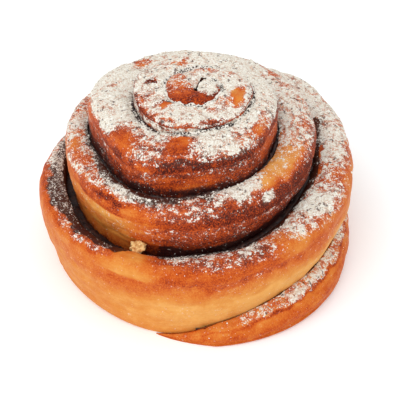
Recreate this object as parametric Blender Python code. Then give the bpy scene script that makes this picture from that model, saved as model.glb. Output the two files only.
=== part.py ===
"""A cinnamon roll, baked until its coils climbed into a cone.

One ribbon of dough is wound five and a half turns inwards, with a film of cinnamon filling rolled in beside it.
Each turn stands higher than the one outside it, and the ribbon's tail is tucked under the front of the roll.
The origin is the middle of the flat underside. +Z is up, and the tail comes out at the front, on the -Y side.
"""

import math

import bmesh
import bpy
import numpy as np

MM = 0.001

# The ribbon is followed inwards by a count of turns: 0 at the front, 0.25 at the right, 0.5 at the back, 0.75 at
# the left, 1 at the front again. It starts at the tail's tip, a little left of the front.
TAIL_TIP = -0.048
CURL_END = 5.45

# Each line is one turn as it passes the front, the right, the back and the left, in millimetres.
# The radius of the outer wall at its fullest.
RADIUS = (
    (52.4, 52.2, 57.3, 51.8),
    (50.3, 51.0, 53.6, 41.1),
    (41.8, 39.2, 39.0, 33.2),
    (30.7, 26.2, 23.5, 19.7),
    (18.0, 17.6, 13.5, 9.2),
    (7.8, 7.6, 6.6, 6.0),
)
# The height of the top where it meets the next turn in.
INNER_HEIGHT = (
    (4.9, 13.2, 22.0, 27.5),
    (30.0, 34.5, 38.0, 40.0),
    (44.8, 46.2, 49.8, 53.5),
    (56.3, 57.5, 58.0, 58.5),
    (59.0, 59.1, 59.2, 59.3),
    (59.4, 59.5, 59.5, 59.5),
)
# The height of the top at its outer rim.
RIM_HEIGHT = (
    (3.4, 10.0, 17.0, 26.5),
    (31.0, 34.5, 38.5, 39.8),
    (42.8, 45.0, 50.5, 52.8),
    (55.0, 56.0, 57.5, 58.0),
    (58.5, 58.8, 59.0, 59.1),
    (59.2, 59.3, 59.4, 59.4),
)
# How far the open part of the wall swells out over its foot.
SWELL = (
    (0.3, 1.2, 2.0, 3.8),
    (3.3, 5.2, 4.4, 1.8),
    (2.3, 2.6, 1.4, 0.2),
    (-0.3, 0.2, 0.6, 0.8),
    (0.8, 0.7, 0.6, 0.5),
    (0.4, 0.3, 0.2, 0.2),
)
# The width of the slot between this turn and the next one in.
SLOT = (
    (1.2, 1.4, 1.8, 2.8),
    (2.3, 2.3, 2.1, 1.6),
    (1.2, 1.3, 1.4, 1.4),
    (1.4, 1.4, 1.4, 1.4),
    (1.4, 1.4, 1.4, 1.4),
    (1.4, 1.4, 1.4, 1.4),
)

# Where the coils lean on each other their walls are pressed in, and elsewhere they bulge: the turn, the half-width
# in turns, and the depth, negative for a bulge.
PRESSED = (
    (0.10, 0.070, -0.8),
    (0.38, 0.090, -1.5),
    (1.38, 0.075, -2.6),
    (1.67, 0.060, -2.6),
    (2.16, 0.080, 3.0),
    (2.41, 0.070, -2.4),
    (2.66, 0.070, -2.8),
    (2.79, 0.060, 1.8),
    (2.93, 0.050, -1.5),
    (3.16, 0.070, 2.0),
)

# At the left front the outer slot gapes.
GAPE_TURN = 0.87
GAPE_SPREAD = 0.065
GAPE_WIDTH = 3.6

# The dough never rises quite evenly: slow waves run along the ribbon's wall and along its top.
WALL_WAVES = ((0.40, 2.3, 0.8), (0.25, 5.1, 2.1))
TOP_WAVES = ((0.45, 1.7, 0.3), (0.30, 4.3, 1.9), (0.18, 9.7, 4.0))

# The tail comes up to its full height early, in a shoulder just right of the front, and thins out to its tip.
TAIL_SHOULDER = 0.115
SHOULDER_SPREAD = 0.075
SHOULDER_RISE = 3.2
SHOULDER_BULGE = 1.2
TAIL_NOSE = 0.060

# The rounded top of the ribbon drops this far at its rim and at its inner edge, by the count of turns.
DROP_TURNS = (0.0, 0.6, 2.5, 3.0, 3.5)
RIM_DROP = (3.0, 5.0, 4.8, 4.6, 1.3)
INNER_DROP = (0.8, 2.2, 2.0, 1.1, 0.7)
TOP_POWER = 2.3
FILLET_TURNS = (0.90, 0.96)
BASE_FILLET = (1.8, 0.6)
BULGE_TURNS = (1.3, 1.7)
BULGE_BELOW_RIM = (11.0, 7.5)
FOOT_BELOW_NEIGHBOUR = 3.2
CURL_HOLE = 0.7

# The film of filling stands in the slot, clear of the dough on both sides.
CLEARANCE = 0.34
RECESS_TURNS = (0.25, 0.6, 3.0, 3.6)
FILLING_RECESS = (1.3, 3.8, 3.8, 2.4)
FILLING_BASE = 0.5
FILLING_TIP = 0.05
FILLING_END = CURL_END - 1.03

# The facets.
ARC_STEP = 5.2
TURN_STEP = 12.0 / 360.0
TOP_FACETS = 9
WALL_FACETS = 3
FILLET_FACETS = 2

DOUGH_COLOUR = (0.62, 0.27, 0.075, 1.0)
FILLING_COLOUR = (0.055, 0.018, 0.010, 1.0)


def along(table, turns):
    """A table's value at any count of turns, on a smooth curve through the quarter turns that it lists."""
    values = np.array(table).ravel()
    place = np.clip(np.asarray(turns, float) * 4, -1.0, len(values) - 1.0)
    low = np.clip(np.floor(place).astype(int), -1, len(values) - 2)
    share = place - low
    padded = np.concatenate([[2 * values[0] - values[1]] * 2, values, [values[-1]] * 2])
    before, start, end, after = (padded[low + 2 + offset] for offset in (-1, 0, 1, 2))
    slope_in = (end - before) / 2
    slope_out = (after - start) / 2
    square = share * share
    cube = square * share
    return (
        start * (2 * cube - 3 * square + 1)
        + slope_in * (cube - 2 * square + share)
        + end * (3 * square - 2 * cube)
        + slope_out * (cube - square)
    )


def waves(terms, turns):
    return sum(size * np.sin(2 * math.pi * rate * turns + start) for size, rate, start in terms)


def calm(turns):
    """The waves die out towards the tail's thin tip and in the tight curl at the middle."""
    return np.clip((turns + 0.02) * 4, 0.0, 1.0) * np.clip(5.2 - turns, 0.25, 1.0)


def pressed(turns):
    """How far the outer wall is pressed in: the sum of the bell curves."""
    return sum(depth * np.exp(-(((turns - turn) / spread) ** 2)) for turn, spread, depth in PRESSED)


def shoulder(turns):
    return np.exp(-(((turns - TAIL_SHOULDER) / SHOULDER_SPREAD) ** 2))


def inner_height(turns):
    return along(INNER_HEIGHT, turns) + calm(turns) * waves(TOP_WAVES, turns) + SHOULDER_RISE * shoulder(turns)


def rim_height(turns):
    rise = 0.6 * SHOULDER_RISE * shoulder(turns)
    return along(RIM_HEIGHT, turns) + calm(turns) * waves(TOP_WAVES, turns) + rise


def foot_height(turns):
    """Where the open part of a wall begins, a little below the top of the turn outside it."""
    foot = np.where(turns > 0.9, inner_height(turns - 1.0) - FOOT_BELOW_NEIGHBOUR, 0.0)
    return np.maximum(foot, 0.0)


def outer_wall(turns, height):
    """The radius of the ribbon's outer side: straight below the neighbour's top, then swelling up to the bulge."""
    rim = rim_height(turns)
    foot = foot_height(turns)
    below_rim = np.interp(turns, BULGE_TURNS, BULGE_BELOW_RIM)
    bulge = np.maximum(np.maximum(rim - below_rim, 0.66 * rim), foot + 3.0)
    rise = np.clip((height - foot) / (bulge - foot), 0.0, 1.0)
    fullest = along(RADIUS, turns) + calm(turns) * waves(WALL_WAVES, turns) + SHOULDER_BULGE * shoulder(turns)
    return fullest - pressed(turns) - along(SWELL, turns) * (1.0 - (rise + np.sin(rise * math.pi / 2)) / 2)


def inner_wall(turns, height):
    """The radius of the ribbon's inner side: one slot out from the next turn, and closed up inside the curl."""
    slot = along(SLOT, turns) + GAPE_WIDTH * np.exp(-(((turns - GAPE_TURN) / GAPE_SPREAD) ** 2))
    beside = outer_wall(np.minimum(turns + 1.0, CURL_END), height) + slot
    past_end = np.clip((turns + 1.0 - CURL_END) * 2 * math.pi, 0.05, math.pi / 2)
    closed = np.maximum(slot / np.sin(past_end) - 1.1 * np.clip(past_end - 0.9, 0.0, 1.0), CURL_HOLE)
    return np.where(turns + 1.0 > CURL_END, np.minimum(beside, closed), beside)


def ribbon_section(turns):
    """One closed outline of the ribbon, as radius and height: up the inner side, over the top and down outside."""
    step = np.full(1, turns)
    nose = (0.10 + 0.90 * np.clip((turns - TAIL_TIP) / TAIL_NOSE, 0.0, 1.0)) ** 0.7
    top_in = inner_height(step) * nose
    top_out = rim_height(step) * nose
    rim_drop = np.minimum(np.interp(turns, DROP_TURNS, RIM_DROP), 0.55 * top_out)
    inner_drop = np.minimum(np.interp(turns, DROP_TURNS, INNER_DROP), 0.35 * top_in)
    round_way = np.linspace(math.pi, 0.0, TOP_FACETS + 1)
    power = 2 / TOP_POWER
    across = (1 + np.sign(np.cos(round_way)) * np.abs(np.cos(round_way)) ** power) / 2
    sunk = (1 - np.abs(np.sin(round_way)) ** power) * (inner_drop + (rim_drop - inner_drop) * across)
    top = top_in + (top_out - top_in) * across - sunk
    fillet = min(float(np.interp(turns, FILLET_TURNS, BASE_FILLET)), 0.3 * float(top[-1]))
    face = float(top[-1]) - fillet
    knee = fillet + face * float(np.clip((foot_height(step)[0] - fillet) / face, 0.1, 0.9))
    wall = np.append(np.linspace(float(top[-1]), knee, WALL_FACETS + 1)[1:], fillet)
    back = float(top[0]) - 0.6 * fillet
    seam = 0.6 * fillet + back * float(np.clip((top_in[0] - FOOT_BELOW_NEIGHBOUR) / back, 0.1, 0.9))
    inside = np.array([0.6 * fillet, seam])
    corner = np.linspace(0.0, math.pi / 2, FILLET_FACETS + 1)[1:]
    under = fillet * (1 - np.sin(corner))
    tucked = fillet * (1 - np.cos(corner))
    heights = np.concatenate([[0.0], inside, top, wall, under])
    shares = np.concatenate([[0.0], inside * 0, across, wall * 0 + 1, under * 0 + 1])
    inset = np.concatenate([[0.6 * fillet], inside * 0, top * 0, wall * 0, -tucked])
    inner = inner_wall(step + heights * 0, heights)
    outer = outer_wall(step + heights * 0, heights)
    return inner + (outer - inner) * shares * nose + inset * nose, heights


def film_section(turns):
    """One closed outline of the filling, halfway between the two sides of the slot."""
    beside = float(inner_height(np.full(1, turns))[0])
    top = max(beside - float(np.interp(turns, RECESS_TURNS, FILLING_RECESS)), FILLING_BASE + 0.8)
    knee = min(max(beside - FOOT_BELOW_NEIGHBOUR, FILLING_BASE + 0.4), top - 0.2)
    heights = np.array([FILLING_BASE, knee, top])
    step = np.full(3, turns)
    near = outer_wall(step + 1.0, heights) + CLEARANCE
    far = inner_wall(step, heights) - CLEARANCE
    return np.concatenate([near, far[::-1]]), np.concatenate([heights, heights[::-1]])


def stations(start, end):
    """Counts of turns from start to end, an even arc apart outside and an even angle apart in the tight curl."""
    turns = [start]
    while turns[-1] < end:
        radius = float(along(RADIUS, turns[-1]))
        turns.append(turns[-1] + min(ARC_STEP / (2 * math.pi * radius), TURN_STEP))
    spread = np.array(turns)
    return start + (spread - start) * (end - start) / (spread[-1] - start)


def wound_solid(name, turns, section, colour):
    """Carry a section round the winding, close both of its ends, and keep it as one named solid."""
    mesh = bmesh.new()
    rings = []
    for turn in turns:
        angle = 2 * math.pi * turn - math.pi / 2
        radii, heights = section(float(turn))
        points = zip(radii * math.cos(angle), radii * math.sin(angle), heights)
        rings.append([mesh.verts.new((x * MM, y * MM, z * MM)) for x, y, z in points])
    for ring, following in zip(rings, rings[1:]):
        for index in range(len(ring)):
            after = (index + 1) % len(ring)
            mesh.faces.new((ring[index], ring[after], following[after], following[index]))
    for ring in (rings[0], rings[-1]):
        mesh.faces.new(ring)
    bmesh.ops.recalc_face_normals(mesh, faces=mesh.faces)
    bmesh.ops.triangulate(mesh, faces=mesh.faces)
    data = bpy.data.meshes.new(name)
    mesh.to_mesh(data)
    mesh.free()
    material = bpy.data.materials.new(name)
    material.use_nodes = True
    shader = material.node_tree.nodes["Principled BSDF"]
    shader.inputs["Base Color"].default_value = colour
    shader.inputs["Roughness"].default_value = 0.6
    data.materials.append(material)
    solid = bpy.data.objects.new(name, data)
    bpy.context.scene.collection.objects.link(solid)
    return solid


def centre(solids):
    """Move every solid alike, so that the origin is under the middle of the roll and on its flat underside."""
    points = np.concatenate([np.array([vertex.co for vertex in solid.data.vertices]) for solid in solids])
    low = points.min(axis=0)
    high = points.max(axis=0)
    shift = (-(low[0] + high[0]) / 2, -(low[1] + high[1]) / 2, -low[2])
    for solid in solids:
        for vertex in solid.data.vertices:
            vertex.co.x += shift[0]
            vertex.co.y += shift[1]
            vertex.co.z += shift[2]


for existing in list(bpy.data.objects):
    bpy.data.objects.remove(existing)

dough = wound_solid("dough", stations(TAIL_TIP, CURL_END), ribbon_section, DOUGH_COLOUR)
filling = wound_solid("filling", stations(FILLING_TIP, FILLING_END), film_section, FILLING_COLOUR)
centre([dough, filling])
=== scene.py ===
"""The looks of a cinnamon roll dusted with powdered sugar, on a plain white floor."""

import math

import bmesh
import bpy
import numpy as np
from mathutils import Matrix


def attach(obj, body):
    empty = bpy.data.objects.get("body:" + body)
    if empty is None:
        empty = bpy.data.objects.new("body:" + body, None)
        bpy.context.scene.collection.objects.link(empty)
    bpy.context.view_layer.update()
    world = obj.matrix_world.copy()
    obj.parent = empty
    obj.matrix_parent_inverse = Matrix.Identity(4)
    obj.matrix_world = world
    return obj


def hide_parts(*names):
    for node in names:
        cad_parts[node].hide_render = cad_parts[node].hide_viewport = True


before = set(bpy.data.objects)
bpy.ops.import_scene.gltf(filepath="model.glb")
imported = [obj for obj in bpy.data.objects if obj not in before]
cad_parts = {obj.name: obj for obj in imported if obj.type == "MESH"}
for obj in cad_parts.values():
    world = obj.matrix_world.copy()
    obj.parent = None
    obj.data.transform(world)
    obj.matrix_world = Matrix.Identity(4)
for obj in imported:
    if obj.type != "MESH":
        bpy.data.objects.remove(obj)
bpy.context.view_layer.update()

# The dough
# One ribbon of enriched yeast dough, wound from the tail up to the curl and baked until each turn climbed
# above the one outside it. Its walls are pale where a neighbour kept the heat off, its rims red-brown.
MM = 0.001

# The ribbon is followed inwards by a count of turns: 0 at the front, 0.25 at the right, 0.5 at the back,
# 0.75 at the left, 1 at the front again. Its axis is a little off the middle of the roll, in millimetres.
TAIL_TIP = -0.041
CURL_END = 5.45
AXIS = (-0.100, -2.635)

# Each line is one turn as it passes the front, the right, the back and the left, in millimetres. The
# numbers are the solid's own, apart from the slots, which are narrower, because no clearance is needed here.
# The radius of the outer wall at its fullest.
RADIUS = (
    (52.4, 52.2, 57.3, 51.8),
    (50.3, 51.0, 53.6, 41.1),
    (41.8, 39.2, 39.0, 33.2),
    (30.7, 26.2, 23.5, 19.7),
    (18.0, 17.6, 13.5, 9.2),
    (7.8, 7.6, 6.6, 6.0),
)
# The height of the top where it meets the next turn in.
INNER_HEIGHT = (
    (4.9, 13.2, 22.0, 27.5),
    (30.0, 34.5, 38.0, 40.0),
    (44.8, 46.2, 49.8, 53.5),
    (56.3, 57.5, 58.0, 58.5),
    (59.0, 59.1, 59.2, 59.3),
    (59.4, 59.5, 59.5, 59.5),
)
# The height of the top at its outer rim.
RIM_HEIGHT = (
    (3.4, 10.0, 17.0, 26.5),
    (31.0, 34.5, 38.5, 39.8),
    (42.8, 45.0, 50.5, 52.8),
    (55.0, 56.0, 57.5, 58.0),
    (58.5, 58.8, 59.0, 59.1),
    (59.2, 59.3, 59.4, 59.4),
)
# How far the open part of the wall swells out over its foot.
SWELL = (
    (0.3, 1.2, 2.0, 3.8),
    (3.3, 5.2, 4.4, 1.8),
    (2.3, 2.6, 1.4, 0.2),
    (-0.3, 0.2, 0.6, 0.8),
    (0.8, 0.7, 0.6, 0.5),
    (0.4, 0.3, 0.2, 0.2),
)
# The width of the slot between this turn and the next one in.
SLOT = (
    (0.2, 0.3, 1.0, 2.6),
    (1.5, 1.6, 1.7, 1.0),
    (0.7, 0.8, 0.9, 0.9),
    (0.9, 0.7, 0.7, 0.7),
    (0.6, 0.6, 0.6, 0.6),
    (0.6, 0.6, 0.6, 0.6),
)
# Where the walls are pressed in: the turn, the half-width in turns, and the depth, negative for a bulge.
PRESSED = (
    (0.10, 0.070, -0.8),
    (0.38, 0.090, -1.5),
    (1.38, 0.075, -2.6),
    (1.67, 0.060, -2.6),
    (2.16, 0.080, 3.0),
    (2.41, 0.070, -2.4),
    (2.66, 0.070, -2.8),
    (2.79, 0.060, 1.8),
    (2.93, 0.050, -1.5),
    (3.16, 0.070, 2.0),
)
# Slow waves along the wall and along the top: the size, the count in a turn, and the start.
WALL_WAVES = ((0.40, 2.3, 0.8), (0.25, 5.1, 2.1))
TOP_WAVES = ((0.45, 1.7, 0.3), (0.30, 4.3, 1.9), (0.18, 9.7, 4.0))

# The tail comes up to its full height in a shoulder just right of the front, and thins out to its tip.
TAIL_SHOULDER = 0.115
SHOULDER_SPREAD = 0.075
SHOULDER_RISE = 3.2
SHOULDER_BULGE = 1.2
TAIL_NOSE = 0.060
NOSE_POWER = 0.85

# The end of the curl narrows and sinks, and closes on a pinhole.
CURL_TIP = 0.045
CURL_SINK = 1.5
CURL_HOLE = 0.4

# At the left front the outer slot gapes.
GAPE_TURN = 0.88
GAPE_SPREAD = 0.065
GAPE_WIDTH = 2.4

# The rounded top of the ribbon drops this far at its rim and at its inner edge, by the count of turns.
DROP_TURNS = (0.0, 0.6, 2.5, 3.0, 3.5)
RIM_DROP = (3.0, 5.0, 4.8, 4.6, 1.3)
INNER_DROP = (0.8, 2.2, 2.0, 1.1, 0.7)
TOP_POWER = 2.3
FILLET_TURNS = (0.90, 0.96)
BASE_FILLET = (1.8, 0.6)
BULGE_TURNS = (1.3, 1.7)
BULGE_BELOW_RIM = (11.0, 7.5)
FOOT_BELOW_NEIGHBOUR = 3.2

# How many points a section has on each of its stretches.
TOP_POINTS = 40
WALL_POINTS = 22
HIDDEN_POINTS = 4
INSIDE_POINTS = 7
FILLET_POINTS = 3

# The sections are this far apart, in millimetres outside and in degrees in the curl, where that is closer.
ARC_STEP = 1.02
TURN_STEP = 4.0


def along(table, turns):
    """A smooth cubic through the table's quarter turns, each slope taken from its two neighbours."""
    values = np.array(table).ravel()
    place = np.clip(np.asarray(turns, float) * 4, -1.0, len(values) - 1.0)
    low = np.clip(np.floor(place).astype(int), -1, len(values) - 2)
    share = place - low
    padded = np.concatenate([[2 * values[0] - values[1]] * 2, values, [values[-1]] * 2])
    before, start, end, after = (padded[low + 2 + offset] for offset in (-1, 0, 1, 2))
    square = share * share
    cube = square * share
    return (start * (2 * cube - 3 * square + 1) + (end - before) / 2 * (cube - 2 * square + share)
            + end * (3 * square - 2 * cube) + (after - start) / 2 * (cube - square))


def waves(terms, turns):
    """The sum of the sine waves, which die out towards the tail's thin tip and in the curl."""
    calm = np.clip((turns + 0.02) * 4, 0.0, 1.0) * np.clip(5.2 - turns, 0.25, 1.0)
    return calm * sum(size * np.sin(2 * math.pi * rate * turns + start) for size, rate, start in terms)


def shoulder(turns):
    """A bell curve about the tail's shoulder."""
    return np.exp(-(((turns - TAIL_SHOULDER) / SHOULDER_SPREAD) ** 2))


def pressed(turns):
    """How far the outer wall is pressed in: the sum of the bell curves."""
    return sum(depth * np.exp(-(((turns - turn) / width) ** 2)) for turn, width, depth in PRESSED)


def inner_height(turns):
    """The table's height with the slow waves and the tail's shoulder."""
    return along(INNER_HEIGHT, turns) + waves(TOP_WAVES, turns) + SHOULDER_RISE * shoulder(turns)


def rim_height(turns):
    """The table's height with the slow waves and part of the tail's shoulder."""
    return along(RIM_HEIGHT, turns) + waves(TOP_WAVES, turns) + 0.6 * SHOULDER_RISE * shoulder(turns)


def foot_height(turns):
    """Where the open part of a wall begins: a little below the top of the turn outside it, or the floor."""
    foot = np.where(turns > 0.9, inner_height(turns - 1.0) - FOOT_BELOW_NEIGHBOUR, 0.0)
    return np.maximum(foot, 0.0)


def outer_wall(turns, height):
    """The fullest radius, less a swell that eases off from the foot up to the bulge below the rim."""
    rim = rim_height(turns)
    foot = foot_height(turns)
    below_rim = np.interp(turns, BULGE_TURNS, BULGE_BELOW_RIM)
    bulge = np.maximum(np.maximum(rim - below_rim, 0.66 * rim), foot + 3.0)
    rise = np.clip((height - foot) / (bulge - foot), 0.0, 1.0)
    fullest = along(RADIUS, turns) + waves(WALL_WAVES, turns) + SHOULDER_BULGE * shoulder(turns)
    return fullest - pressed(turns) - along(SWELL, turns) * (1.0 - (rise + np.sin(rise * math.pi / 2)) / 2)


def inner_wall(turns, height):
    """The next turn's outer wall and the slot, or in the curl a straight slot that closes on the pinhole."""
    slot = along(SLOT, turns) + GAPE_WIDTH * np.exp(-(((turns - GAPE_TURN) / GAPE_SPREAD) ** 2))
    beside = outer_wall(np.minimum(turns + 1.0, CURL_END), height) + slot
    past_end = np.clip((turns + 1.0 - CURL_END) * 2 * math.pi, 0.05, math.pi / 2)
    closed = np.maximum(slot / np.sin(past_end) - 1.1 * np.clip(past_end - 0.9, 0.0, 1.0), CURL_HOLE)
    return np.where(turns + 1.0 > CURL_END, np.minimum(beside, closed), beside)


def ribbon(turns):
    """The ribbon's sections, one to a row: up the inner side, over the top, down the outer side and under.

    For each point: its radius and height, 1 on the top, 1 on the open wall, and its place, from 0 to 1,
    across the top and up the open wall. The top is a superellipse between its two edges.
    """
    turn = turns[:, None]
    nose = (0.05 + 0.95 * np.clip((turn - TAIL_TIP) / TAIL_NOSE, 0.0, 1.0)) ** NOSE_POWER
    tip = np.sqrt(1 - np.clip((turn - CURL_END + CURL_TIP) / CURL_TIP, 0.0, 1.0) ** 2)
    top_in = inner_height(turn) * nose - CURL_SINK * (1 - tip)
    top_out = rim_height(turn) * nose - CURL_SINK * (1 - tip)
    rim_drop = np.minimum(np.interp(turn, DROP_TURNS, RIM_DROP), 0.55 * top_out)
    inner_drop = np.minimum(np.interp(turn, DROP_TURNS, INNER_DROP), 0.35 * top_in)
    round_way = np.linspace(math.pi, 0.0, TOP_POINTS)[None, :]
    power = 2 / TOP_POWER
    across = (1 + np.sign(np.cos(round_way)) * np.abs(np.cos(round_way)) ** power) / 2
    sunk = (1 - np.abs(np.sin(round_way)) ** power) * (inner_drop + (rim_drop - inner_drop) * across)
    top = top_in + (top_out - top_in) * across - sunk
    crown = top[:, -1:]
    fillet = np.minimum(np.interp(turn, FILLET_TURNS, BASE_FILLET), 0.3 * crown)
    knee = fillet + (crown - fillet) * np.clip((foot_height(turn) - fillet) / (crown - fillet), 0.1, 0.9)
    up = np.linspace(1.0, 0.0, WALL_POINTS + 1)[None, 1:]
    wall = knee + (crown - knee) * up
    hidden = fillet + (knee - fillet) * np.linspace(1.0, 0.0, HIDDEN_POINTS + 1)[None, 1:]
    sinking = 1 - np.linspace(1.0, 0.0, INSIDE_POINTS + 1)[None, :-1] ** 2
    inside = 0.6 * fillet + (top[:, :1] - 0.6 * fillet) * sinking
    corner = np.linspace(0.0, math.pi / 2, FILLET_POINTS + 1)[None, 1:]
    stretches = (turn * 0.0, inside, top, wall, hidden, fillet * (1 - np.sin(corner)))

    def spread_over(*values):
        """One value for each stretch of the section, spread over that stretch's points."""
        return np.concatenate([stretch * 0 + value for stretch, value in zip(stretches, values)], axis=1)

    height = np.concatenate(stretches, axis=1)
    share = spread_over(0, 0, across, 1, 1, 1)
    inset = spread_over(0.6 * fillet, 0, 0, 0, 0, -fillet * (1 - np.cos(corner)))
    inner = inner_wall(turn, height)
    outer = outer_wall(turn, height)
    share = 0.5 + (share - 0.5) * (0.5 + 0.5 * tip)
    radius = inner + (outer - inner) * share * nose + inset * nose
    on_top = spread_over(0, 0, 1, 0, 0, 0)
    on_wall = spread_over(0, 0, 0, 1, 0, 0)
    return radius, height, on_top, on_wall, spread_over(0, 0, across, up, 0, 0)


def lattice(points, size, seed, cells=48):
    """Smooth random values from -1 to 1: one for each lattice point, blended by 3t^2 - 2t^3 between them."""
    table = np.random.default_rng(seed).uniform(-1.0, 1.0, (cells, cells, cells))
    scaled = points / size
    cell = np.floor(scaled).astype(int)
    part = scaled - cell
    part = part * part * (3 - 2 * part)
    total = 0.0
    for corner in np.ndindex(2, 2, 2):
        near = np.where(np.array(corner) == 1, part, 1 - part)
        x, y, z = np.moveaxis((cell + np.array(corner)) % cells, -1, 0)
        total = total + near[..., 0] * near[..., 1] * near[..., 2] * table[x, y, z]
    return total


def strands(flow, stretch, size, seed):
    """The lattice's values over the ribbon's length and girth, drawn out along its length."""
    return lattice(flow / np.array([stretch, 1.0, 1.0]), size, seed)


def ease(value, low, high):
    """0 below low, 1 above high, and 3t^2 - 2t^3 between them."""
    share = np.clip((value - low) / (high - low), 0.0, 1.0)
    return share * share * (3 - 2 * share)


def spaced(start, end, arc, angle, samples=20001):
    """Counts of turns that are an even arc apart outside and an even angle apart in the curl."""
    fine = np.linspace(start, end, samples)
    pace = np.minimum(arc / (2 * math.pi * along(RADIUS, fine)), angle / 360)
    travelled = np.concatenate([[0.0], np.cumsum(np.diff(fine) / pace[1:])])
    return np.interp(np.linspace(0.0, travelled[-1], int(travelled[-1]) + 1), travelled, fine)


def place(turns, radius, height):
    """Points on circles about the winding's axis: the angle goes once round for each turn, from the front."""
    angle = 2 * math.pi * turns - math.pi / 2
    return np.stack([radius * np.cos(angle) + AXIS[0], radius * np.sin(angle) + AXIS[1], height], axis=-1)


def facing(points):
    """Unit normals of a grid of closed rows: the cross product of the steps along and across it."""
    ahead = np.gradient(points, axis=0)
    beside = np.roll(points, -1, axis=1) - np.roll(points, 1, axis=1)
    normal = np.cross(beside, ahead)
    return normal / np.maximum(np.linalg.norm(normal, axis=-1, keepdims=True), 1e-9)


def shown(name, data):
    """A new object in the scene."""
    piece = bpy.data.objects.new(name, data)
    bpy.context.scene.collection.objects.link(piece)
    return piece


def wound_mesh(name, points, values):
    """Quads between neighbours of a grid whose rows are closed rings, a face on each end, and its values."""
    rows, columns = points.shape[:2]
    index = np.arange(rows * columns).reshape(rows, columns)
    beside = np.roll(index, -1, axis=1)
    quads = np.stack([index[:-1], index[1:], beside[1:], beside[:-1]], axis=-1).reshape(-1, 4)
    ends = [index[0].tolist(), index[-1][::-1].tolist()]
    mesh = bpy.data.meshes.new(name)
    mesh.from_pydata((points.reshape(-1, 3) * MM).tolist(), [], quads.tolist() + ends)
    for label, value in values.items():
        layer = mesh.attributes.new(label, "FLOAT", "POINT")
        layer.data.foreach_set("value", value.ravel().astype(np.float32))
    mesh.shade_smooth()
    return shown(name, mesh)


def patched(value, patches, turns, climb):
    """The value with patches added, each its size times exp(-x^4 - y^4), with x and y in half-widths."""
    for turn, across, long, wide, size in patches:
        value = value + size * np.exp(-(((turns - turn) / long) ** 4) - ((climb - across) / wide) ** 4)
    return value


turns = spaced(TAIL_TIP, CURL_END, ARC_STEP, TURN_STEP)
radius, height, on_top, on_wall, climb = ribbon(turns)
wound = turns[:, None] + radius * 0
points = place(wound, radius, height)
normals = facing(points)
open_air = ease(on_top + on_wall, 0.0, 1.0)

# The length along the ribbon, measured on one column of points on its top, the girth round each section, and
# a third number that keeps the patterns of neighbouring turns apart.
LENGTH_COLUMN = 20
strides = np.linalg.norm(np.diff(points[:, LENGTH_COLUMN], axis=0), axis=1)
length = np.concatenate([[0.0], np.cumsum(strides)])[:, None] + radius * 0
steps = np.linalg.norm(np.diff(points, axis=1), axis=-1)
girth = np.concatenate([np.zeros((len(turns), 1)), np.cumsum(steps, axis=1)], axis=1)
flow = np.stack([length, girth, wound * 7.0], axis=-1)

# Patches of colour and sugar have ragged edges: their places are looked up a little beside the true ones.
wound_near = wound + 0.006 * lattice(points, 4.5, 61) + 0.004 * lattice(points, 1.8, 62)
climb_near = climb + 0.12 * lattice(points, 4.5, 63) + 0.08 * lattice(points, 1.8, 64)

# The relief of the crust: slow swells, creases along the ribbon where the dough stretched, and pits.
swells = 0.40 * lattice(points, 9.0, 1) + 0.26 * lattice(points, 3.6, 2) - 0.15
creases = 0.16 * strands(flow, 9.0, 1.5, 3) + 0.10 * strands(flow, 14.0, 0.7, 4)
pits = -0.35 * ease(lattice(points, 2.3, 5), 0.45, 0.85)
relief = open_air * (swells + creases * (0.4 + 0.6 * on_wall) + pits)

# How far each place is baked, from 0, pale gold, to 1, mahogany: at the foot of the wall, at the rim, and on
# the ledge inside the rim.
BAKED_FOOT = (
    (0.49, 0.50, 0.46, 0.34),
    (0.24, 0.24, 0.35, 0.42),
    (0.84, 0.86, 0.50, 0.80),
    (0.80, 0.84, 0.50, 0.82),
    (0.60, 0.60, 0.60, 0.60),
    (0.65, 0.65, 0.65, 0.65),
)
BAKED_RIM = (
    (0.52, 0.50, 0.46, 0.40),
    (0.50, 0.42, 0.50, 0.46),
    (0.72, 0.74, 0.50, 0.58),
    (0.74, 0.80, 0.52, 0.82),
    (0.74, 0.64, 0.60, 0.68),
    (0.72, 0.72, 0.72, 0.72),
)
BAKED_TOP = (
    (0.40, 0.40, 0.50, 0.60),
    (0.62, 0.52, 0.52, 0.48),
    (0.66, 0.50, 0.52, 0.52),
    (0.60, 0.52, 0.52, 0.60),
    (0.56, 0.54, 0.54, 0.58),
    (0.68, 0.60, 0.60, 0.60),
)
# Patches that are baked more or less, up the walls and across the ledges: the turn, the place from 0 to 1,
# the half-widths along and across, and what they add.
WALL_BAKING = (
    (1.000, 0.97, 0.100, 0.10, 0.05),
    (1.020, 0.45, 0.100, 0.20, -0.06),
    (1.030, 0.76, 0.070, 0.12, -0.08),
    (1.090, 0.97, 0.070, 0.10, 0.06),
    (1.100, 0.25, 0.140, 0.35, -0.18),
    (1.200, 0.35, 0.050, 0.40, -0.10),
    (1.870, 0.50, 0.060, 1.00, -0.18),
    (1.885, 0.25, 0.050, 0.40, -0.12),
    (1.905, 0.90, 0.050, 0.26, -0.24),
    (1.935, 0.45, 0.030, 0.25, -0.16),
    (2.060, 0.55, 0.050, 0.25, -0.10),
    (2.130, 0.60, 0.100, 0.50, 0.08),
    (2.880, 1.00, 0.050, 0.30, -0.10),
    (2.900, 0.40, 0.050, 0.40, 0.15),
    (2.955, 0.80, 0.020, 0.30, -0.12),
    (2.970, 0.50, 0.080, 0.25, -0.10),
    (2.980, 0.98, 0.140, 0.12, 0.12),
    (3.010, 0.50, 0.030, 0.20, -0.10),
    (3.170, 0.85, 0.060, 0.45, -0.22),
)
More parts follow.
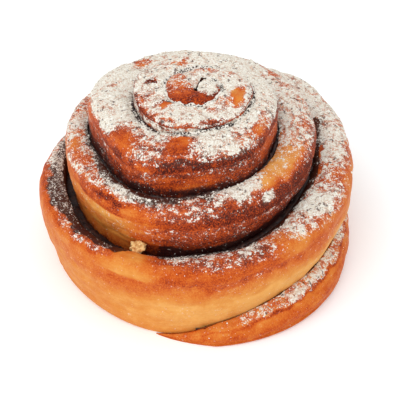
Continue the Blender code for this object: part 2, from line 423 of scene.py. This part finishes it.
TOP_BAKING = (
    (0.130, 0.70, 0.130, 0.07, 0.24),
    (0.935, 0.60, 0.020, 0.70, -0.36),
    (0.980, 0.76, 0.020, 0.20, -0.14),
    (1.020, 0.80, 0.060, 0.24, 0.08),
    (1.100, 0.65, 0.022, 0.40, -0.16),
    (1.770, 0.60, 0.036, 0.36, -0.10),
    (1.892, 0.90, 0.026, 0.08, 0.30),
    (1.930, 1.02, 0.022, 0.14, -0.24),
    (2.090, 0.50, 0.020, 0.22, -0.20),
    (2.120, 0.98, 0.110, 0.20, 0.16),
    (2.145, 0.26, 0.060, 0.40, -0.42),
    (2.200, 0.80, 0.040, 0.30, -0.08),
    (2.860, 0.75, 0.040, 0.40, -0.02),
    (2.960, 1.00, 0.160, 0.06, 0.22),
    (2.968, 0.45, 0.030, 0.50, -0.04),
    (3.145, 0.80, 0.040, 0.30, -0.14),
    (3.700, 0.42, 0.014, 0.14, 0.50),
    (3.860, 0.30, 0.030, 0.30, -0.18),
    (4.050, 0.92, 0.040, 0.12, 0.25),
    (4.205, 0.60, 0.070, 0.26, -0.20),
    (4.980, 0.60, 0.060, 0.40, 0.16),
    (5.180, 0.98, 0.120, 0.17, 0.20),
)
foot_bake = along(BAKED_FOOT, turns)[:, None]
rim_bake = along(BAKED_RIM, turns)[:, None]
top_bake = along(BAKED_TOP, turns)[:, None]
up_wall = foot_bake + (rim_bake - foot_bake) * ease(climb, 0.45, 0.95)
over_ledge = top_bake + (rim_bake - top_bake) * ease(climb, 0.78, 1.0)
wall_bake = patched(up_wall, WALL_BAKING, wound_near, climb_near)
ledge_bake = patched(over_ledge, TOP_BAKING, wound_near, climb_near)
mottle = (0.07 * lattice(points, 8.0, 11) + 0.10 * lattice(points, 2.8, 12)) * (1 - 0.4 * on_wall)
streaks = 0.06 * strands(flow, 11.0, 1.6, 13) + 0.06 * strands(flow, 16.0, 0.8, 14)
streaks = streaks * (0.4 + 0.6 * ease(wound, 1.3, 1.7))
bake = on_wall * wall_bake + on_top * ledge_bake + (1 - on_wall - on_top) * foot_bake
bake = np.clip(bake + open_air * (mottle + streaks), 0.0, 1.0)

# How far the filling has stained each ledge from its inner edge, as a share of the ledge, and the patches
# where the stain runs wider or stops short.
STAINED = (
    (0.00, 0.00, 0.20, 0.50),
    (0.22, 0.06, 0.14, 0.16),
    (0.36, 0.00, 0.12, 0.14),
    (0.10, 0.06, 0.08, 0.10),
    (0.05, 0.04, 0.04, 0.05),
    (0.05, 0.05, 0.05, 0.05),
)
SPILLS = (
    (0.850, 0.00, 0.090, 1.00, 0.16),
    (0.940, 0.00, 0.018, 1.00, -0.45),
    (1.330, 0.00, 0.055, 1.00, 0.34),
    (1.900, 0.00, 0.070, 1.00, 0.30),
    (2.140, 0.00, 0.080, 1.00, -0.30),
)
spread = np.maximum(patched(along(STAINED, turns)[:, None], SPILLS, turns[:, None], 0.0), 0.0)
ragged = (0.30 * lattice(points, 4.0, 21) + 0.30 * lattice(points, 1.5, 22)) * np.minimum(spread * 3, 1.0)
ledge_stain = 1 - ease(climb + 0.5 * ragged, spread * 0.5, spread * 1.45 + 0.02)

# How far the dark at each wall's foot climbs above the neighbour's ledge, in millimetres: partly the filling
# smeared up the wall, partly painted shade low in the groove.
SPLASH_AND_SHADE = (
    (0.0, 0.0, 0.0, 0.0),
    (0.0, 0.0, 0.0, 0.5),
    (1.4, 2.6, 1.0, 4.0),
    (1.4, 2.4, 0.5, 0.5),
    (0.3, 0.3, 0.3, 0.3),
    (0.3, 0.3, 0.3, 0.3),
)
splash_and_shade = along(SPLASH_AND_SHADE, turns)[:, None]
sunken = inner_height(wound - 1.0) - height
# The dark at the foot of the wall: partly filling stain, partly painted shade where the wall meets the
# groove.
wall_stain_and_shade = ease(sunken + 4.0 * ragged, -splash_and_shade - 1.0, 1.5 - 0.5 * splash_and_shade) * ease(wound, 1.90, 1.97)
wall_stain_and_shade = wall_stain_and_shade * (0.78 - 0.12 * ease(wound, 2.5, 2.8))

# Inside the slots both sides are stained, apart from the foot of the outer wall, until the ribbon has passed
# the right side for the second time.
FOOT_DEPTH = 6.5
in_slot = (1 - on_top - on_wall) * ease(wound, 0.42, 0.6)
near_wall = radius > along(RADIUS, turns)[:, None] - FOOT_DEPTH
covered = np.where(near_wall, ease(wound, 1.25, 1.35), 1.0)
# The filling's stain on the ledges and in the slots, and the painted shade at the walls' feet, in one value.
stain = on_top * ledge_stain + on_wall * wall_stain_and_shade + in_slot * covered * 0.9

# How much of the crust the sugar hides, from 0, none, to 1, all, and the patches where more or less of it
# fell or stayed. It fell from above, slid off steep places, and little of it holds on the walls.
SUGARED = (
    (0.10, 0.60, 0.60, 0.46),
    (0.24, 0.76, 0.88, 0.52),
    (0.42, 0.66, 0.90, 0.80),
    (0.56, 0.90, 0.92, 0.74),
    (0.76, 0.76, 0.78, 0.24),
    (0.12, 0.82, 0.60, 0.60),
)
DUSTED = (
    (0.020, 0.50, 0.030, 1.00, -0.10),
    (0.084, 0.42, 0.011, 0.40, -0.34),
    (0.115, 0.34, 0.055, 0.36, 0.42),
    (0.150, 0.90, 0.120, 0.26, -0.50),
    (0.165, 0.36, 0.030, 0.50, -0.22),
    (0.760, 0.93, 0.070, 0.24, -0.48),
    (0.820, 0.05, 0.050, 0.22, -0.06),
    (0.820, 0.65, 0.070, 0.60, -0.20),
    (0.858, 0.72, 0.026, 0.30, 0.24),
    (0.860, 1.00, 0.070, 0.14, -0.45),
    (0.885, 0.20, 0.045, 0.45, -0.16),
    (0.935, 0.60, 0.020, 0.60, -0.35),
    (0.980, 0.80, 0.035, 0.40, -0.12),
    (0.982, 0.28, 0.014, 0.26, 0.24),
    (1.010, 0.40, 0.012, 0.45, 0.16),
    (1.020, 0.98, 0.100, 0.16, -0.14),
    (1.055, 0.30, 0.012, 0.30, 0.30),
    (1.098, 0.65, 0.012, 0.35, -0.35),
    (1.120, 0.45, 0.030, 0.36, 0.40),
    (1.125, 0.60, 0.016, 0.40, -0.30),
    (1.158, 0.45, 0.018, 0.36, 0.30),
    (1.180, 0.00, 0.140, 0.10, -0.70),
    (1.215, 0.50, 0.024, 0.50, -0.30),
    (1.220, 0.98, 0.110, 0.22, -0.32),
    (1.335, 0.02, 0.048, 0.16, -1.00),
    (1.780, 0.62, 0.028, 0.26, -0.30),
    (1.850, 0.95, 0.035, 0.22, -0.22),
    (1.870, 0.35, 0.060, 0.40, 0.12),
    (1.890, 0.05, 0.080, 0.24, -0.50),
    (1.905, 0.98, 0.045, 0.26, -0.50),
    (1.930, 0.55, 0.050, 0.20, 0.12),
    (2.020, 0.85, 0.060, 0.15, -0.15),
    (2.060, 0.25, 0.040, 0.30, 0.25),
    (2.070, 0.40, 0.022, 0.50, 0.35),
    (2.094, 0.90, 0.010, 0.12, 1.05),
    (2.100, 0.50, 0.016, 0.20, -0.25),
    (2.130, 0.95, 0.095, 0.34, -0.45),
    (2.155, 0.30, 0.050, 0.36, -0.40),
    (2.387, 0.80, 0.018, 0.16, -0.60),
    (2.592, 0.62, 0.016, 0.16, -0.60),
    (2.860, 0.75, 0.036, 0.36, -0.65),
    (2.968, 0.45, 0.030, 0.45, -0.60),
    (2.980, 0.97, 0.080, 0.10, -0.30),
    (3.040, 0.50, 0.040, 0.60, 0.20),
    (3.145, 0.80, 0.036, 0.30, -0.50),
    (3.540, 0.40, 0.030, 0.20, -0.50),
    (3.700, 0.42, 0.012, 0.12, -0.80),
    (3.800, 1.00, 0.030, 0.14, -0.55),
    (3.843, 0.27, 0.020, 0.22, -0.55),
    (3.860, 0.30, 0.026, 0.30, -0.65),
    (3.900, 0.88, 0.120, 0.08, -0.35),
    (4.050, 0.90, 0.035, 0.10, -0.60),
    (4.205, 0.60, 0.058, 0.20, -0.95),
    (4.450, 0.70, 0.060, 0.30, -0.30),
    (4.720, 0.45, 0.160, 0.45, -0.12),
    (5.000, 0.60, 0.100, 0.50, -0.55),
    (5.180, 0.98, 0.120, 0.17, -0.75),
    (5.220, 0.40, 0.090, 0.50, 0.15),
)
sifted = patched(along(SUGARED, turns)[:, None] + radius * 0, DUSTED, wound_near, climb_near)
upward = ease(normals[..., 2], 0.10, 0.60)
margin = 1 - 0.45 * ease(climb, 0.90, 1.0)
drift = 0.20 * lattice(points, 5.5, 31) + 0.16 * lattice(points, 2.2, 32) + 0.14 * lattice(points, 1.1, 33)
shallow = ease(wound, 3.3, 3.6)
on_walls = on_wall * sifted * (0.12 + 0.75 * shallow) * ease(climb, -0.5, 1.0)
sugar = on_top * sifted * upward * margin + on_walls
sugar = sugar + drift * ease(sugar, 0.03, 0.35) * (0.4 + 0.6 * on_top)
caught = 0.06 * ease(wound, 1.4, 1.9) * ease(climb, 0.2, 0.8) + 0.06 * ease(climb, 0.6, 1.0)
sugar = np.clip(sugar + on_wall * (caught + 0.06 * lattice(points, 4.0, 34)), 0.0, 1.0)
relief = relief + 0.22 * ease(sugar, 0.45, 0.9) * open_air
points = points + normals * relief[..., None]

dough = wound_mesh("dough_ribbon", points, {"bake": bake, "stain": stain, "sugar": sugar})
lengthwise = dough.data.attributes.new("flow", "FLOAT_VECTOR", "POINT")
lengthwise.data.foreach_set("vector", (flow * MM).ravel().astype(np.float32))
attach(dough, "root")
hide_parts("dough")


class Wire:
    """A socket. Arithmetic on it adds Math nodes, and node() adds any other kind."""

    def __init__(self, tree, socket):
        self.tree = tree
        self.socket = socket

    def node(self, kind, settings=(), out=0, **inputs):
        """One of a new node's outputs. Inputs go by name, or by number as i0, and take a value or a wire."""
        added = self.tree.nodes.new(kind)
        for name, value in dict(settings).items():
            if name == "stops":
                ramp = added.color_ramp
                while len(ramp.elements) < len(value):
                    ramp.elements.new(0.5)
                for element, (spot, colour) in zip(ramp.elements, value):
                    element.position = spot
                    element.color = (*colour, 1.0)
            else:
                setattr(added, name, value)
        for name, value in inputs.items():
            key = int(name[1:]) if name[0] == "i" and name[1:].isdigit() else name.replace("_", " ")
            if isinstance(value, Wire):
                self.tree.links.new(value.socket, added.inputs[key])
            else:
                added.inputs[key].default_value = value
        return Wire(self.tree, added.outputs[out])

    def maths(self, kind, first, second):
        """One Math node on two values or wires."""
        return self.node("ShaderNodeMath", {"operation": kind}, i0=first, i1=second)

    def __add__(self, other):
        return self.maths("ADD", self, other)

    def __radd__(self, other):
        return self.maths("ADD", other, self)

    def __sub__(self, other):
        return self.maths("SUBTRACT", self, other)

    def __rsub__(self, other):
        return self.maths("SUBTRACT", other, self)

    def __mul__(self, other):
        return self.maths("MULTIPLY", self, other)

    def __rmul__(self, other):
        return self.maths("MULTIPLY", other, self)

    def band(self, low, high):
        """0 below low and 1 above high, eased between."""
        eased = {"interpolation_type": "SMOOTHSTEP"}
        return self.node("ShaderNodeMapRange", eased, Value=self, From_Min=low, From_Max=high)

    def blend(self, first, second):
        """A colour between two, by this wire."""
        return self.node("ShaderNodeMix", {"data_type": "RGBA"}, out=2, i0=self, i6=first, i7=second)

    def noise(self, scale, detail, **more):
        """Noise over this wire's place, with a scale in waves to the metre."""
        return self.node("ShaderNodeTexNoise", Vector=self, Scale=scale, Detail=detail, **more)

    def pick(self, scale):
        """A random value for each cell of a Voronoi pattern over this wire's place."""
        cells = self.node("ShaderNodeTexVoronoi", out=1, Vector=self, Scale=scale)
        return cells.node("ShaderNodeSeparateColor", Color=cells)

    def held(self, name):
        """The value of that name that the mesh holds at each point."""
        return self.node("ShaderNodeAttribute", {"attribute_name": name}, out=2)

    def bump(self, strength, distance):
        """A normal for this wire as a height, with its distance in metres."""
        return self.node("ShaderNodeBump", Strength=strength, Distance=distance, Height=self)


def finish(name):
    """A new material with its Principled shader, and a wire with its object coordinates to build on."""
    material = bpy.data.materials.new(name)
    material.use_nodes = True
    tree = material.node_tree
    shader = tree.nodes["Principled BSDF"]
    spot = Wire(tree, tree.nodes.new("ShaderNodeTexCoord").outputs["Object"])
    return material, shader, spot


def feed(shader, name, wire):
    """Link a wire into one of the shader's sockets."""
    wire.tree.links.new(wire.socket, shader.inputs[name])


# The crust's colour by its bake, from pale gold through orange and red-brown to mahogany and nearly black.
CRUST_COLOURS = (
    (0.00, (0.800, 0.400, 0.110)),
    (0.22, (0.705, 0.268, 0.052)),
    (0.42, (0.630, 0.156, 0.023)),
    (0.58, (0.530, 0.080, 0.010)),
    (0.75, (0.290, 0.036, 0.009)),
    (0.90, (0.140, 0.018, 0.008)),
    (1.00, (0.070, 0.012, 0.007)),
)
# The colours of the filling's stain, also used for the painted shade at the walls' feet.
STAIN_AND_SHADE_DARK = (0.010, 0.004, 0.005, 1.0)
STAIN_AND_SHADE_LIGHT = (0.042, 0.011, 0.010, 1.0)
MELTED_SUGAR = (0.74, 0.59, 0.46, 1.0)
SUGAR_BRIGHT = (0.96, 0.95, 0.88, 1.0)
SUGAR_DULL = (0.68, 0.59, 0.47, 1.0)
# The colour of the dark flecks among the sugar: painted shade between its clumps.
SHADE_FLECK = (0.075, 0.018, 0.014, 1.0)
FIBRE_SCALES = (90.0, 1500.0, 200.0)
FINE_CELLS = 2900.0
COARSE_CELLS = 1400.0

crust, skin, spot = finish("baked_crust_with_sugar")
baked = spot.held("bake")
stained_and_shaded = spot.held("stain")
sugared = spot.held("sugar")
course = spot.node("ShaderNodeAttribute", {"attribute_name": "flow"}, out=1)
fibres = course.node("ShaderNodeMapping", Vector=course, Scale=FIBRE_SCALES).noise(1.0, 3.0)
pores = spot.noise(900.0, 3.0)
freckles = spot.noise(350.0, 4.0, Roughness=0.65)
grit = spot.noise(2400.0, 2.0)
clots = spot.noise(520.0, 2.0)
drifts = spot.noise(260.0, 3.0)
fine_pick = spot.pick(FINE_CELLS)
coarse_pick = spot.pick(COARSE_CELLS)

# The crust's own colour, speckled more where it is baked dark and where sugar has soaked in. Between the
# clumps
# of sugar the crust is darker: painted shade among them.
speckle = (0.12 + 1.70 * baked * baked + 0.8 * sugared) * (grit - 0.5)
depth = baked + 0.14 * (fibres - 0.5) + 0.40 * (freckles - 0.5) + speckle + 1.9 * sugared * (0.52 - clots)
colour = depth.node("ShaderNodeValToRGB", {"stops": CRUST_COLOURS}, Fac=depth)

# The filling's stain and the painted shade at the feet of the walls, with a ragged edge.
smear_and_shade = (stained_and_shaded + 0.7 * (freckles - 0.5) + 0.5 * (pores - 0.5)).band(0.35, 0.75)
colour = (0.92 * smear_and_shade).blend(colour, pores.band(0.30, 0.75).blend(STAIN_AND_SHADE_DARK, STAIN_AND_SHADE_LIGHT))

# The sugar: a haze where it has half melted, white grains over it cell by cell, and small dark flecks
# between, painted shade among the clumps.
patchy = 0.6 * (drifts - 0.5) + 1.6 * (clots - 0.5) + 0.8 * (pores - 0.5)
cover = 0.84 * sugared + patchy * sugared.band(0.0, 0.3) * (1 - 0.75 * stained_and_shaded)
grains = (cover - 0.55 * fine_pick - 0.45 * coarse_pick).band(-0.13, 0.20)
haze = 0.16 * sugared * (0.4 + drifts) + 0.58 * sugared.band(0.50, 0.90)
colour = haze.blend(colour, MELTED_SUGAR)
colour = (0.96 * grains).blend(colour, fine_pick.blend(SUGAR_BRIGHT, SUGAR_DULL))
# Dark flecks where the sugar lies: painted shade between its clumps.
shade_flecks = spot.noise(640.0, 3.0).band(0.60, 0.66) * sugared.band(0.25, 0.60)
colour = (0.80 * shade_flecks).blend(colour, SHADE_FLECK)

grain_tops = 1 - 0.6 * spot.node("ShaderNodeTexVoronoi", Vector=spot, Scale=FINE_CELLS)
lumps = 0.5 * pores + 0.4 * fibres + 0.35 * grit + 1.3 * grains * grain_tops
feed(skin, "Base Color", colour)
feed(skin, "Roughness", 0.46 + 0.2 * (freckles - 0.5) + 0.40 * grains)
feed(skin, "Normal", lumps.bump(0.55, 0.0004))
skin.inputs["Specular IOR Level"].default_value = 0.06
dough.data.materials.append(crust)

# The filling
# Cinnamon, sugar and butter, spread on the dough before it was wound and baked to a dark sticky film between
# the turns. It stands in the slot, a little into the dough on both sides, and ends where the curl closes.
FILM_END = CURL_END - 1.03
FILM_ARC = 1.1
FILM_BASE = 0.4
FILM_CROWN = 0.25
FILM_BITE = 0.15
SIDE_POINTS = 9
CROWN_POINTS = 5

# How far its top lies below the dough's, by the count of turns.
RECESS_TURNS = (0.3, 0.5, 0.8, 0.9, 1.0, 2.6, 3.2)
RECESS = (2.0, 3.0, 7.0, 7.0, 3.0, 1.6, 0.35)

FILM_DARK = (0.012, 0.005, 0.005, 1.0)
FILM_LIGHT = (0.070, 0.020, 0.011, 1.0)
FILM_SUGAR = (0.82, 0.78, 0.70, 1.0)

film_turn = spaced(0.0, FILM_END, FILM_ARC, TURN_STEP)[:, None]
edge = inner_height(film_turn)
crest = place(film_turn, along(RADIUS, film_turn), edge)
rough = 0.5 * lattice(crest, 1.6, 41) + 0.4 * lattice(crest, 0.8, 42)
film_top = np.maximum(edge - np.interp(film_turn, RECESS_TURNS, RECESS) + rough, 1.0)
rising = np.linspace(0.0, 1.0, SIDE_POINTS)[None, :]
over = np.linspace(0.0, 1.0, CROWN_POINTS + 2)[None, 1:-1]
side = FILM_BASE + (film_top - FILM_BASE) * rising
film_height = np.concatenate([side, film_top + FILM_CROWN * np.sin(math.pi * over), side[:, ::-1]], axis=1)
near = outer_wall(film_turn + 1.0, film_height) - FILM_BITE
far = inner_wall(film_turn, film_height) + FILM_BITE
film_share = np.concatenate([rising * 0, over, rising * 0 + 1], axis=1)
film_points = place(film_turn + film_height * 0, near + (far - near) * film_share, film_height)
jitter = [lattice(film_points, 0.9, seed) for seed in (43, 44, 45)]
film_points = film_points + 0.18 * np.stack(jitter, axis=-1)
dusted = ease(film_turn, 2.5, 3.3) * (0.70 + 0.6 * lattice(film_points, 3.0, 46))
filling = wound_mesh("filling_film", film_points, {"sugar": dusted})
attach(filling, "root")
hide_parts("filling")

sticky, skin, spot = finish("baked_cinnamon")
crumbs = spot.noise(1400.0, 3.0)
clots = spot.noise(420.0, 2.0)
dark = (crumbs + 0.4 * (clots - 0.5)).band(0.35, 0.75).blend(FILM_DARK, FILM_LIGHT)
feed(skin, "Base Color", (spot.held("sugar") - spot.pick(2600.0)).band(-0.02, 0.05).blend(dark, FILM_SUGAR))
feed(skin, "Roughness", 0.30 + 0.5 * crumbs)
feed(skin, "Normal", (crumbs + clots).bump(0.7, 0.0004))
filling.data.materials.append(sticky)

# The crumb
# A scrap of pale dough that tore off and stuck across the outer groove, a little left of the front. It is a
# ball whose radius swells and dents with three sizes of lattice noise.
CRUMB_HALF = np.array([2.1, 1.5, 2.3])
CRUMB_PLACE = np.array([AXIS[0] - 17.1, AXIS[1] - 38.0, 28.6])
TORN_DARK = (0.60, 0.28, 0.080, 1.0)
TORN_LIGHT = (0.88, 0.60, 0.26, 1.0)


def icosphere(levels):
    """Corners and faces of a ball of triangles: twenty at level 1, four times as many at each level on."""
    ball = bmesh.new()
    bmesh.ops.create_icosphere(ball, subdivisions=levels, radius=1.0)
    corners = np.array([vert.co[:] for vert in ball.verts])
    faces = np.array([[vert.index for vert in face.verts] for face in ball.faces])
    ball.free()
    return corners, faces


ball, faces = icosphere(4)
rough = 1 + 0.60 * lattice(ball + 7.0, 0.75, 71) + 0.35 * lattice(ball + 7.0, 0.35, 72)
rough = rough + 0.20 * lattice(ball, 0.18, 73)
mesh = bpy.data.meshes.new("torn_crumb")
mesh.from_pydata(((ball * rough[:, None] * CRUMB_HALF + CRUMB_PLACE) * MM).tolist(), [], faces.tolist())
mesh.shade_smooth()
crumb = shown("torn_crumb", mesh)
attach(crumb, "root")

torn, skin, spot = finish("torn_dough")
holes = spot.noise(1300.0, 3.0)
feed(skin, "Base Color", holes.band(0.35, 0.65).blend(TORN_DARK, TORN_LIGHT))
skin.inputs["Roughness"].default_value = 0.8
feed(skin, "Normal", holes.bump(0.8, 0.0005))
crumb.data.materials.append(torn)

# The sugar
# Powdered sugar sifted over the warm roll. The finest of it is drawn in the crust's own colour, and what has
# clotted lies on top as dust, grains and small lumps, each a small dented solid.
POWDER_DULL = (0.75, 0.70, 0.60, 1.0)
POWDER_BRIGHT = (0.93, 0.92, 0.86, 1.0)

# Each solid is flattened towards the crust and lifted off it, both as a share of its size.
FLATTENED = 0.45
LIFTED = 0.10
OCTAHEDRON = (
    np.array([[1, 0, 0], [-1, 0, 0], [0, 1, 0], [0, -1, 0], [0, 0, 1], [0, 0, -1]], float),
    np.array([[0, 2, 4], [2, 1, 4], [1, 3, 4], [3, 0, 4], [2, 0, 5], [1, 2, 5], [3, 1, 5], [0, 3, 5]]),
)

powder, skin, spot = finish("powdered_sugar")
feed(skin, "Base Color", spot.held("tone").blend(POWDER_DULL, POWDER_BRIGHT))
skin.inputs["Roughness"].default_value = 0.9


def turned(rng, count):
    """Random turns, one 3 by 3 matrix each, from unit quaternions."""
    w, x, y, z = rng.normal(size=(count, 4)).T
    size = np.sqrt(w * w + x * x + y * y + z * z)
    w, x, y, z = w / size, x / size, y / size, z / size
    return np.stack([
        np.stack([1 - 2 * (y * y + z * z), 2 * (x * y - z * w), 2 * (x * z + y * w)], axis=-1),
        np.stack([2 * (x * y + z * w), 1 - 2 * (x * x + z * z), 2 * (y * z - x * w)], axis=-1),
        np.stack([2 * (x * z - y * w), 2 * (y * z + x * w), 1 - 2 * (x * x + y * y)], axis=-1)], axis=1)


def strewn(name, solid, count, small, large, seed, chance):
    """Many small solids on the crust, drawn by chance, each with its own size, turn and dents."""
    rng = np.random.default_rng(seed)
    ahead = points[2:, :-1] - points[:-2, :-1]
    aside = points[1:-1, 1:] - points[1:-1, :-1]
    area = np.linalg.norm(np.cross(ahead, aside), axis=-1)
    weight = (area * chance[1:-1, :-1]).ravel()
    chosen = rng.choice(weight.size, count, p=weight / weight.sum())
    start, ahead, aside, outward = (
        grid.reshape(-1, 3)[chosen] for grid in (points[1:-1, :-1], ahead, aside, facing(points)[1:-1, :-1])
    )
    spots = start + ahead * rng.uniform(-0.25, 0.25, (count, 1))
    spots = spots + aside * rng.uniform(-0.5, 0.5, (count, 1))
    sizes = small + (large - small) * rng.uniform(0.0, 1.0, (count, 1)) ** 2.5
    spots = spots + outward * sizes * LIFTED
    corners, faces = solid
    dents = rng.uniform(0.65, 1.25, (count, len(corners), 1)) * rng.uniform(0.6, 1.1, (count, 1, 3))
    shapes = np.einsum("nij,nvj->nvi", turned(rng, count), corners[None] * dents)
    tall = np.einsum("nvj,nj->nv", shapes, outward)[..., None]
    shapes = (shapes - FLATTENED * outward[:, None] * tall) * sizes[:, None] / 2 + spots[:, None]
    index = faces[None] + np.arange(count)[:, None, None] * len(corners)
    mesh = bpy.data.meshes.new(name)
    mesh.from_pydata((shapes.reshape(-1, 3) * MM).tolist(), [], index.reshape(-1, 3).tolist())
    tone = np.repeat(rng.uniform(0.0, 1.0, count), len(corners))
    mesh.attributes.new("tone", "FLOAT", "POINT").data.foreach_set("value", tone.astype(np.float32))
    mesh.materials.append(powder)
    piece = shown(name, mesh)
    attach(piece, "root")


# How likely each kind is at each place: dust wherever the crust looks up and a little on the walls, and
# grains and lumps where the sugar lies thicker.
dust_chance = (0.02 + sugar) * open_air * upward + 0.02 * on_wall * ease(wound, 1.2, 1.9)
grain_chance = sugar ** 1.5 * open_air * upward
lump_chance = ease(sugar, 0.45, 0.8) * open_air * upward
strewn("sugar_dust", OCTAHEDRON, 20000, 0.20, 0.46, 51, dust_chance)
strewn("sugar_grains", icosphere(1), 6000, 0.35, 0.80, 52, grain_chance)
strewn("sugar_lumps", icosphere(1), 700, 0.70, 1.60, 53, lump_chance)

# The camera, the floor and the light
# A white sweep and soft light from all round, as for a cut-out on white. The camera looks down 40 degrees,
# from 317 mm off the middle of the roll. The lamps and the floor are in metres.
CAMERA_LIFT = math.radians(40.0)
CAMERA_REACH = 317.0
TARGET = np.array([AXIS[0] + 1.2, AXIS[1], 14.6])
FOCAL_LENGTH = 85.0
SENSOR_WIDTH = 36.0
FLOOR_SIZE = 6.0
FLOOR_COLOUR = (0.96, 0.98, 0.99, 1.0)
FLOOR_GLOW = (0.90, 1.0, 1.0, 1.0)
FLOOR_GLOW_STRENGTH = 0.12
SKY_COLOUR = (1.0, 1.0, 1.0, 1.0)
SKY_STRENGTH = 0.80
# Each lamp's name, its place, its width and its power in watts.
LAMPS = (
    ("key", -0.40, -0.45, 0.80, 1.00, 4.8),
    ("fill", 0.70, -0.60, 0.50, 0.80, 1.0),
)

lens = bpy.data.cameras.new("camera")
lens.lens = FOCAL_LENGTH
lens.sensor_width = SENSOR_WIDTH
camera = shown("camera", lens)
sight = np.array([0.0, -math.cos(CAMERA_LIFT), math.sin(CAMERA_LIFT)])
camera.location = (TARGET + CAMERA_REACH * sight) * MM
camera.rotation_euler = (math.pi / 2 - CAMERA_LIFT, 0.0, 0.0)
bpy.context.scene.camera = camera

bpy.ops.mesh.primitive_plane_add(size=FLOOR_SIZE)
floor = bpy.context.object
floor.name = "floor"
paper, skin, spot = finish("white_floor")
skin.inputs["Base Color"].default_value = FLOOR_COLOUR
skin.inputs["Roughness"].default_value = 0.9
skin.inputs["Emission Color"].default_value = FLOOR_GLOW
skin.inputs["Emission Strength"].default_value = FLOOR_GLOW_STRENGTH
floor.data.materials.append(paper)

sky = bpy.data.worlds.new("sky")
sky.use_nodes = True
sky.node_tree.nodes["Background"].inputs["Color"].default_value = SKY_COLOUR
sky.node_tree.nodes["Background"].inputs["Strength"].default_value = SKY_STRENGTH
bpy.context.scene.world = sky
for name, lamp_x, lamp_y, lamp_z, size, power in LAMPS:
    lamp = bpy.data.lights.new(name, "AREA")
    lamp.size = size
    lamp.energy = power
    holder = shown(name, lamp)
    holder.location = (lamp_x, lamp_y, lamp_z)
    reach = math.hypot(lamp_x, lamp_y)
    holder.rotation_euler = (math.atan2(reach, lamp_z), 0.0, math.atan2(lamp_y, lamp_x) + math.pi / 2)
bpy.context.scene.view_settings.view_transform = "Standard"
